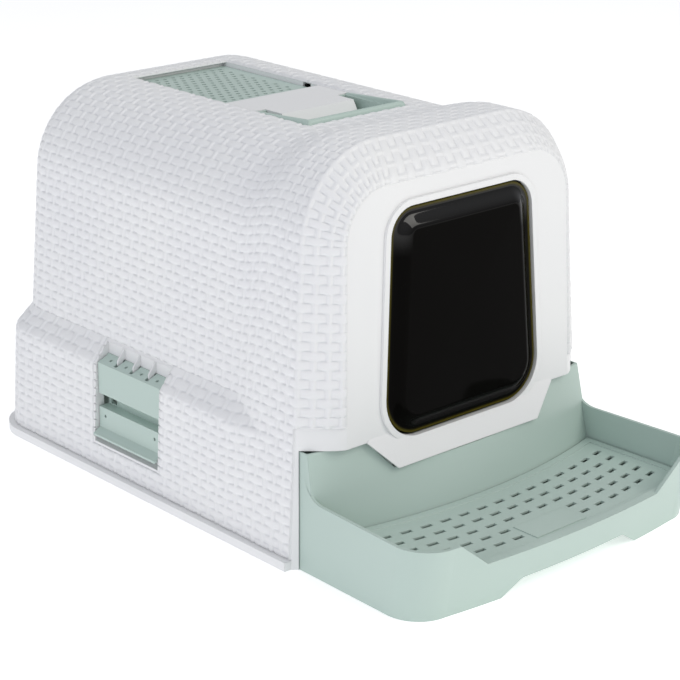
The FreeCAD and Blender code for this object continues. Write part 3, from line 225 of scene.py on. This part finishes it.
def hood_surface(climb, along):
    """Right half of the hood's outer form. An arch with sizes that depend on along is swept from the front
    panel's outline (along -BAND) over the front edge (0) and the body to the end of the rear rounding."""
    inward = np.clip(-along / BAND, 0, 1)
    swell = eased(1 - (along - CREST) / FADE)
    turn = np.clip((along - ROUND_START) / (ROUND_END - ROUND_START), 0, 1) * math.pi / 2
    low = mix(mix(BODY_LOW, BEZEL_LOW, swell), PANEL_LOW, inward)
    high = mix(mix(BODY_HIGH, BEZEL_HIGH, swell), PANEL_HIGH, inward)
    top = mix(mix(BODY_TOP, HOOD_TOP, swell), PANEL_TOP, inward)
    slope = (low - high) / top
    drawn = REAR_ROUND * (1 - np.cos(turn))
    x, z = arch(climb, low - drawn, slope, top - drawn, mix(CROWN, PANEL_ROUND, inward) - drawn)

    edge_y = FRONT + FRONT_LEAN * z
    forward = inward + inward * (1 - inward) * (BAND_FULLNESS + BAND_FULLNESS_GAIN * inward ** 2)
    crest_y = FRONT + CREST
    rear_face, rear_radius = rear_places(z)
    even_y = FRONT + EVEN_END
    late = np.clip((along - EVEN_END) / (ROUND_START - EVEN_END), 0, 1)
    y = np.where(along < 0, edge_y - BULGE * forward, mix(edge_y, crest_y, np.clip(along / CREST, 0, 1)))
    y = np.where(along > CREST, FRONT + np.minimum(along, EVEN_END), y)
    y = np.where(along > EVEN_END, mix(even_y, rear_face - rear_radius, late), y)
    y = y + rear_radius * np.sin(turn)

    fade_in = np.clip((FRONT + SHOULDER_FADE_END - y) / FADE, 0, 1)
    drawn_in = SHOULDER_DRAWN * np.interp(z, SKIRT_LEVELS, (0, 1, 0, 0)) * fade_in
    skirt = np.interp(z, SKIRT_LEVELS, SKIRT_HALVES) - drawn_in - rear_radius * (1 - np.cos(turn))
    skirted = np.logaddexp(x, np.where(along < CREST / 2, 0, skirt))
    return np.stack([np.where(climb < 1, skirted, x), y, z], axis=-1)


def outward(points):
    """Unit normals of a grid of points, from the cross product of its two directions."""
    normal = np.cross(np.gradient(points, axis=1), np.gradient(points, axis=0))
    return normal / np.linalg.norm(normal, axis=-1, keepdims=True)


def grid_faces(rows, columns):
    """Four-cornered faces between the neighbours of a grid that is numbered row by row."""
    index = np.arange(rows * columns).reshape(rows, columns)
    return np.stack([index[:-1, :-1], index[:-1, 1:], index[1:, 1:], index[1:, :-1]], axis=-1)


def add_piece(name, points, faces, body, slot, material, **attributes):
    """Smooth piece from points in millimetres and the faces between them, riding on a body."""
    used, faces = np.unique(faces.reshape(-1, faces.shape[-1]), return_inverse=True)
    mesh = bpy.data.meshes.new(name)
    mesh.from_pydata(points.reshape(-1, 3)[used] / 1000, [], faces.reshape(-1, 4).tolist())
    mesh.shade_smooth()
    for label, values in attributes.items():
        layer = mesh.attributes.new(label, "FLOAT", "POINT")
        layer.data.foreach_set("value", values.ravel()[used].astype(np.float32))
    mesh.materials.append(material)
    piece = bpy.data.objects.new(name, mesh)
    bpy.context.scene.collection.objects.link(piece)
    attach(piece, body)
    return piece


# The weave moulding carries painted shade: greyer in the low places of the relief, from its rise attribute.
white_woven = moulding("white_polypropylene_weave_moulded", "EFEFEE", "E8E8EA", 0.45, hollow_shade="DFE0E3")
STRIP_SHARES = np.array((0.0, 0.1, 0.25, 0.5, 0.75, 0.9))
STAKE_SHARES = np.array((0.0, 0.06, 0.12, 0.17, 0.22, 0.35, 0.5, 0.65, 0.78, 0.83, 0.88, 0.94))
WEAVE_PIECES = 4
REAR_COLUMNS = 201
BODY_MIDDLE = 200.0
RECESS_HALF = 63.2

# Place of each strip: its height on the walls, then the way round the crown and along the roof
climbs = np.linspace(0, 3, 6001)
middle_line = hood_surface(climbs[:, None], np.array([[BODY_MIDDLE]]))[:, 0]
steps = np.where(climbs[1:] <= 1, np.diff(middle_line[:, 2]),
                 np.linalg.norm(np.diff(middle_line, axis=0), axis=1))
distance = FOOT + np.concatenate([[0], np.cumsum(steps)])
mouth_row = 128
pocket_rows = (31.5, 138.6)
recess_row = np.interp(-RECESS_HALF, -middle_line[climbs >= 2, 0], distance[climbs >= 2])
pocket_places = tuple(y - FRONT for y in (43.6, 151.4))
recess_places = tuple(y - FRONT for y in (-27.7, 251.7))

across = stations(FOOT, distance[-1], STRIP_START, STRIP_PITCH, STRIP_SHARES,
                  [mouth_row, *pocket_rows, recess_row])
along = stations(-BAND, ROUND_END, 0, STAKE_PITCH, STAKE_SHARES, [0, *pocket_places, *recess_places])
half = hood_surface(np.interp(across, distance, climbs)[:, None], along[None, :])
points = np.concatenate([half, half[-2::-1] * (-1, 1, 1)])
strip_places = np.concatenate([across, across[-2::-1]])

row = {name: np.searchsorted(across, place - 1e-6) for name, place in
       (("mouth", mouth_row), ("foot", pocket_rows[0]), ("head", pocket_rows[1]), ("recess", recess_row))}
pocket_columns = slice(*np.searchsorted(along, np.array(pocket_places) - 1e-6))
recess_columns = slice(*np.searchsorted(along, np.array(recess_places) - 1e-6))
open_half = np.zeros((len(across) - 1, len(along) - 1), bool)
open_half[:row["mouth"], :np.searchsorted(along, 0)] = True
open_half[row["foot"]:row["head"], pocket_columns] = True
open_half[row["recess"]:, recess_columns] = True
opened = np.concatenate([open_half, open_half[::-1]])

# The skin's free edges sink into the shell
beside = np.pad(opened, 1, constant_values=True)
free = beside[:-1, :-1] | beside[1:, :-1] | beside[:-1, 1:] | beside[1:, 1:]
relief = weave(strip_places[:, None], along[None, :])
lift = np.where(free, -SKIN_SINK, SKIN_LIFT + relief)
skin = points + outward(points) * lift[..., None]
faces = grid_faces(*lift.shape)
lengths = np.linspace(0, len(along) - 1, WEAVE_PIECES + 1).astype(int)
for number, (start, end) in enumerate(zip(lengths[:-1], lengths[1:]), start=1):
    kept = faces[:, start:end][~opened[:, start:end]]
    add_piece(f"hood_weave_{number}", skin, kept, "hood", "white_moulding", white_woven,
              rise=relief / STRIP_RISE)

# Back of the hood, inside the rear rounding: level strips between the two upright edges
rear_line = hood_surface(climbs[:, None], np.array([[ROUND_END]]))[:, 0]
rear_rise = climbs <= 2
rear_z = stations(FOOT, rear_line[:, 2].max(), STRIP_START, STRIP_PITCH, STRIP_SHARES, [])
rear_half = np.interp(rear_z, rear_line[rear_rise, 2], rear_line[rear_rise, 0])
rear_x = rear_half[:, None] * np.linspace(-1, 1, REAR_COLUMNS)
rear_y = np.broadcast_to(rear_places(rear_z)[0][:, None], rear_x.shape)
back = np.stack([-rear_x, rear_y, np.broadcast_to(rear_z[:, None], rear_x.shape)], axis=-1)
relief = weave(rear_z[:, None], ROUND_END + rear_half.max() - np.abs(rear_x))
lift = SKIN_LIFT + relief
lift[[0, -1]] = -SKIN_SINK
lift[:, [0, -1]] = -SKIN_SINK
normals = np.broadcast_to((0.0, 1.0, 0.0), back.shape)
add_piece("hood_weave_back", back + normals * lift[..., None], grid_faces(*lift.shape)[:, :, ::-1], "hood",
          "white_moulding", white_woven, rise=relief / STRIP_RISE)


# Door flap. A vacuum-formed sheet of smoke acrylic with a flat flange and a raised middle, hung on two pins.
# The CAD flap keeps the back and the pins, and this polished face lies on its front.

def rounded_loop(corners, radii, arc_steps, side_steps):
    """Closed loop of points round a polygon with an arc of its own radius at each corner. Each corner and
    each side has the same number of points, so loops of different sizes join point to point."""
    before = np.roll(corners, 1, axis=0) - corners
    after = np.roll(corners, -1, axis=0) - corners
    before /= np.linalg.norm(before, axis=1, keepdims=True)
    after /= np.linalg.norm(after, axis=1, keepdims=True)
    half_turn = np.arccos((before * after).sum(axis=1)) / 2
    halfway = before + after
    halfway /= np.linalg.norm(halfway, axis=1, keepdims=True)
    hubs = corners + halfway * (radii / np.sin(half_turn))[:, None]
    heading = np.arctan2(-halfway[:, 1], -halfway[:, 0])
    sweep = np.linspace(-1, 1, arc_steps) * (math.pi / 2 - half_turn)[:, None]
    angle = heading[:, None] + sweep
    arcs = hubs[:, None] + radii[:, None, None] * np.stack([np.cos(angle), np.sin(angle)], axis=-1)
    share = np.linspace(0, 1, side_steps + 2)[1:-1, None]
    sides = mix(arcs[:, -1, None], np.roll(arcs[:, 0], -1, axis=0)[:, None], share)
    return np.concatenate([arcs, sides], axis=1).reshape(-1, 2)


def smoke_sheet():
    """Polished smoke acrylic: near black, with its reflectivity raised on the upper slope of its rise as a
    painted highlight, and a painted olive glow where its edge gathers light."""
    material, tree, shader = new_material("smoke_acrylic_sheet_formed")
    place = add_node(tree, "ShaderNodeTexCoord").outputs["Object"]
    wave_mm = 60
    wave = add_node(tree, "ShaderNodeTexNoise", {"Scale": 1000 / wave_mm, "Detail": 0.0}, {"Vector": place})
    # Painted edge glow: the face turns olive near its edge, where the edge gathers light.
    rim = add_node(tree, "ShaderNodeAttribute", attribute_name="rim")
    tint = add_node(tree, "ShaderNodeMixRGB", {"Color1": linear("090807"), "Color2": linear("4A4416")},
                    {"Fac": rim.outputs["Fac"]})
    # Painted highlight: the sheet reflects more on the upper slope of its rise, where light falls from above.
    sheen = add_node(tree, "ShaderNodeAttribute", attribute_name="sheen")
    painted_reflectivity = add_node(tree, "ShaderNodeMapRange", {"To Min": 0.02, "To Max": 0.45},
                      {"Value": sheen.outputs["Fac"]})
    tree.links.new(painted_reflectivity.outputs["Result"], shader.inputs["Specular IOR Level"])
    relief = add_node(tree, "ShaderNodeBump", {"Strength": 0.15, "Distance": 0.0006},
                      {"Height": wave.outputs["Fac"]})
    tree.links.new(tint.outputs["Color"], shader.inputs["Base Color"])
    tree.links.new(relief.outputs["Normal"], shader.inputs["Normal"])
    shader.inputs["Roughness"].default_value = 0.05
    shader.inputs["IOR"].default_value = 1.49
    return material


smoke_acrylic = smoke_sheet()
dress(["door_flap"], smoke_acrylic)
DOOR_LOW = 102.7
DOOR_HIGH = 89.7
DOOR_FOOT = 106
DOOR_TOP = 324
DOOR_ROUND_LOW = 40
DOOR_ROUND_HIGH = 28
FLAP_GAP = 2
FLAP_BULGE = 7
FLAP_FLANGE = 3.5
FLAP_SLOPE = 16
FLAP_CROWN = 1.2
FLAP_RUN = 20
FACE_PROUD = 0.15
EDGE_RUNS = np.concatenate([[0, 0], np.linspace(0.3, FLAP_RUN, 30)])
MIDDLE_LOOPS = 19
OLIVE_START = 0.8
OLIVE_FADE = 3
PAINTED_SHEEN_REACH = 45
PAINTED_SHEEN_FADE = 30
PIVOT_Y = -164.663
PIVOT_Z = 293
PIVOT_DEPTH = 4


def flap_loop(inset):
    """Loop of the flap's outline drawn in by inset, in its own upright plane."""
    low = DOOR_LOW - inset
    high = DOOR_HIGH - inset
    corners = np.array([(-low, DOOR_FOOT + inset), (low, DOOR_FOOT + inset),
                        (high, DOOR_TOP - inset), (-high, DOOR_TOP - inset)], float)
    radii = np.array([DOOR_ROUND_LOW, DOOR_ROUND_LOW, DOOR_ROUND_HIGH, DOOR_ROUND_HIGH]) - inset
    return rounded_loop(corners, np.maximum(radii, 4), 16, 24)


def flap_surface():
    """Flap's face as loops from its edge to its middle: a rounded edge, a flat flange, an eased rise and a
    slightly crowned middle, which leaves a pinhole."""
    heights = FACE_PROUD + FLAP_BULGE * eased((EDGE_RUNS - FLAP_FLANGE) / FLAP_SLOPE)
    heights[:2] = (-2.3, -0.3)
    outlines = [flap_loop(FLAP_GAP - FACE_PROUD + run) for run in EDGE_RUNS]
    middle = np.array([0.0, (DOOR_FOOT + DOOR_TOP) / 2])
    shares = np.linspace(0, 1, MIDDLE_LOOPS + 1)[1:]
    outlines += [mix(middle, outlines[-1], 1 - 0.995 * share) for share in shares]
    heights = np.concatenate([heights, heights[-1] + FLAP_CROWN * (1 - (1 - shares) ** 2)])
    return np.stack([np.column_stack([outline, np.full(len(outline), height)])
                     for outline, height in zip(outlines, heights)])


loops = flap_surface()
tilt = math.atan(FRONT_LEAN)
depth = -PIVOT_DEPTH - loops[..., 2]
climb = loops[..., 1] - PIVOT_Z
flap_points = np.stack([loops[..., 0], PIVOT_Y + depth * math.cos(tilt) + climb * math.sin(tilt),
                        PIVOT_Z - depth * math.sin(tilt) + climb * math.cos(tilt)], axis=-1)
flap_points = np.concatenate([flap_points, flap_points[:, :1]], axis=1)
edge_run = np.concatenate([EDGE_RUNS, np.full(MIDDLE_LOOPS, FLAP_RUN)])
# Painted edge glow mask: olive over the first few millimetres from the edge, fading inward.
rim = np.repeat((1 - eased((edge_run - OLIVE_START) / OLIVE_FADE))[:, None], flap_points.shape[1], axis=1)
# Painted highlight mask: strong on the slope of the rise near the top edge, nothing lower down.
slope = np.clip(4 * (edge_run / FLAP_RUN) * (1 - edge_run / FLAP_RUN), 0, 1)[:, None]
sheen = slope * eased((flap_points[..., 2] - (DOOR_TOP - PAINTED_SHEEN_REACH)) / PAINTED_SHEEN_FADE)
flap_faces = grid_faces(*flap_points.shape[:2])
add_piece("flap_face", flap_points, flap_faces, "flap", "smoke_sheet", smoke_acrylic, rim=rim,
          sheen=sheen)


# Drawer and step grid. Two green polypropylene mouldings: the pan with its sloping wall and porch, and the
# slotted plate that drops into the porch.

green_smooth = moulding("green_polypropylene_injection_moulded", "BCCEC6", "B7C9C1", 0.32)
dress(["drawer", "step_grid"], green_smooth)


# Top fittings and latches. The perforated vent lid, the finger cup and the two side latches are green, and the
# handle plate between lid and cup is white. The cup's raised rim is added to the CAD cup here.

dress(["vent_grille", "handle_cup", "latch_left", "latch_right"], green_smooth)
dress(["carry_handle"], white_smooth)

ROOF = 368


def cup_rim_surface(half, front, rear):
    """Raised rim of the finger cup: a profile of outer wall, round crest and inner wall, swept round three
    sides and falling to the roof towards its two ends."""
    inset = np.array((-1.0, -0.6, 0.8, 2.2, 3.4, 4.0, 4.4))
    rise = np.array((-0.5, 3.0, 5.6, 6.2, 5.6, 3.0, -12.0))
    end_rise = np.minimum(rise, 0.1 * rise)
    side = half - inset
    near = front + inset
    far = np.full_like(inset, rear)
    path = [(-side, far, end_rise), (-side, near, rise), (side, near, rise), (side, far, end_rise)]
    corners = np.stack([np.column_stack([x, y, ROOF + up]) for x, y, up in path])
    shares = np.linspace(0, 1, 25)[:, None, None]
    return np.concatenate([mix(start, end, shares) for start, end in zip(corners[:-1], corners[1:])])


cup_points = cup_rim_surface(half=61.8, front=-26.3, rear=53)
add_piece("cup_rim", cup_points, grid_faces(*cup_points.shape[:2])[:, :, ::-1], "hood", "green_moulding",
          green_smooth)


# Filter pad. A slack pad of carbon felt that lies loose in the well under the vent lid.

def felt(name):
    """Needled carbon felt: charcoal fibres with lighter flecks and a rough, matted surface."""
    fibre_mm = 1.1
    material, tree, shader = new_material(name)
    place = add_node(tree, "ShaderNodeTexCoord").outputs["Object"]
    fibres = add_node(tree, "ShaderNodeTexNoise", {"Scale": 1000 / fibre_mm, "Detail": 4.0},
                      {"Vector": place})
    tint = add_node(tree, "ShaderNodeMixRGB", {"Color1": linear("232425"), "Color2": linear("4A4B4C")},
                    {"Fac": fibres.outputs["Fac"]})
    relief = add_node(tree, "ShaderNodeBump", {"Strength": 0.8, "Distance": 0.0004},
                      {"Height": fibres.outputs["Fac"]})
    tree.links.new(tint.outputs["Color"], shader.inputs["Base Color"])
    tree.links.new(relief.outputs["Normal"], shader.inputs["Normal"])
    shader.inputs["Roughness"].default_value = 0.95
    return material


def pad_surface(low, high):
    """Pillow-edged slab: a superellipsoid between two corners, boxy in plan and rounder at its edges."""
    turn = np.linspace(0, 2 * math.pi, 97)[None, :]
    rise = np.linspace(-math.pi / 2, math.pi / 2, 33)[:, None]

    def power(wave, exponent):
        return np.sign(wave) * np.abs(wave) ** exponent
    ring = power(np.cos(rise), 0.25)
    unit = np.stack(np.broadcast_arrays(ring * power(np.cos(turn), 0.3), ring * power(np.sin(turn), 0.3),
                                        power(np.sin(rise), 0.7)), axis=-1)
    return (low + high) / 2 + unit * (high - low) / 2


pad_low, pad_high = (np.array(corner) * 1000 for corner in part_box("filter_pad"))
pad_points = pad_surface(pad_low, pad_high)
pad = add_piece("felt_pad", pad_points, grid_faces(*pad_points.shape[:2]), "hood", "carbon_felt",
                felt("carbon_felt_needled"))
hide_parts("filter_pad")


# Studio. A pale floor under a large soft key light from the front right, a weak top light and a cool fill, seen
# by the camera from the photograph's place. The floor glows a little, so that the background is white.

def stage_floor():
    """Pale floor, slightly mottled so that it isn't one flat colour."""
    material, tree, shader = new_material("pale_studio_floor")
    place = add_node(tree, "ShaderNodeTexCoord").outputs["Object"]
    mottle = add_node(tree, "ShaderNodeTexNoise", {"Scale": 3.0}, {"Vector": place})
    tint = add_node(tree, "ShaderNodeMixRGB", {"Color1": linear("F6F6F6"), "Color2": linear("F9F9F9")},
                    {"Fac": mottle.outputs["Fac"]})
    tree.links.new(tint.outputs["Color"], shader.inputs["Base Color"])
    shader.inputs["Roughness"].default_value = 0.9
    shader.inputs["Emission Color"].default_value = linear("FFFFFF")
    shader.inputs["Emission Strength"].default_value = 0.45
    reach = 12
    mesh = bpy.data.meshes.new("studio_floor")
    corners = [(-reach, -reach, 0), (reach, -reach, 0), (reach, reach, 0), (-reach, reach, 0)]
    mesh.from_pydata(corners, [], [(0, 1, 2, 3)])
    mesh.materials.append(material)
    floor = bpy.data.objects.new("studio_floor", mesh)
    bpy.context.scene.collection.objects.link(floor)


def placed(right, above, back, place):
    """Matrix of an object from its three axes and its place."""
    return Matrix([*np.column_stack([right, above, back, place]).tolist(), (0, 0, 0, 1)])


def area_light(name, place, target, size, power, colour):
    """Rectangular soft light at a place, turned to a target."""
    light = bpy.data.lights.new(name, "AREA")
    light.shape = "RECTANGLE"
    light.size, light.size_y = size
    light.energy = power
    light.color = linear(colour)[:3]
    lamp = bpy.data.objects.new(name, light)
    heading = np.array(target, float) - place
    back = -heading / np.linalg.norm(heading)
    right = np.cross((0, 0, 1), back)
    right /= np.linalg.norm(right)
    lamp.matrix_world = placed(right, np.cross(back, right), back, place)
    bpy.context.scene.collection.objects.link(lamp)


stage_floor()
area_light("key", (1.3, -2.6, 2.4), (0, -0.1, 0.2), (2.2, 1.8), 40, "FFFDF6")
area_light("top", (-0.2, 0.4, 3.2), (0, 0, 0.3), (2.6, 2.6), 16, "F8FAFF")
area_light("fill", (-3.0, -0.6, 1.6), (0, 0, 0.2), (2.4, 2.0), 18, "F0F3FF")

world = bpy.data.worlds.new("studio_air")
world.use_nodes = True
world.node_tree.nodes["Background"].inputs["Color"].default_value = linear("F4F6FA")
world.node_tree.nodes["Background"].inputs["Strength"].default_value = 0.49
bpy.context.scene.world = world
bpy.context.scene.view_settings.view_transform = "Standard"

CAMERA_PLACE = (-1.3154, -1.4452, 0.8361)
CAMERA_TURN = math.radians(-42.40)
CAMERA_RISE = math.radians(19.72)
CAMERA_ROLL = math.radians(0.45)
CAMERA_LENS = 110.33


def camera_matrix():
    """Camera's axes and place: back from azimuth and elevation, right level, then both rolled."""
    back = np.array((math.sin(CAMERA_TURN) * math.cos(CAMERA_RISE),
                     -math.cos(CAMERA_TURN) * math.cos(CAMERA_RISE), math.sin(CAMERA_RISE)))
    level = np.array((math.cos(CAMERA_TURN), math.sin(CAMERA_TURN), 0))
    upright = np.cross(back, level)
    right = math.cos(CAMERA_ROLL) * level + math.sin(CAMERA_ROLL) * upright
    above = math.cos(CAMERA_ROLL) * upright - math.sin(CAMERA_ROLL) * level
    return placed(right, above, back, CAMERA_PLACE)


camera_data = bpy.data.cameras.new("photo_view")
camera_data.lens = CAMERA_LENS
camera_data.sensor_width = 36
camera = bpy.data.objects.new("photo_view", camera_data)
camera.matrix_world = camera_matrix()
bpy.context.scene.collection.objects.link(camera)
bpy.context.scene.camera = camera
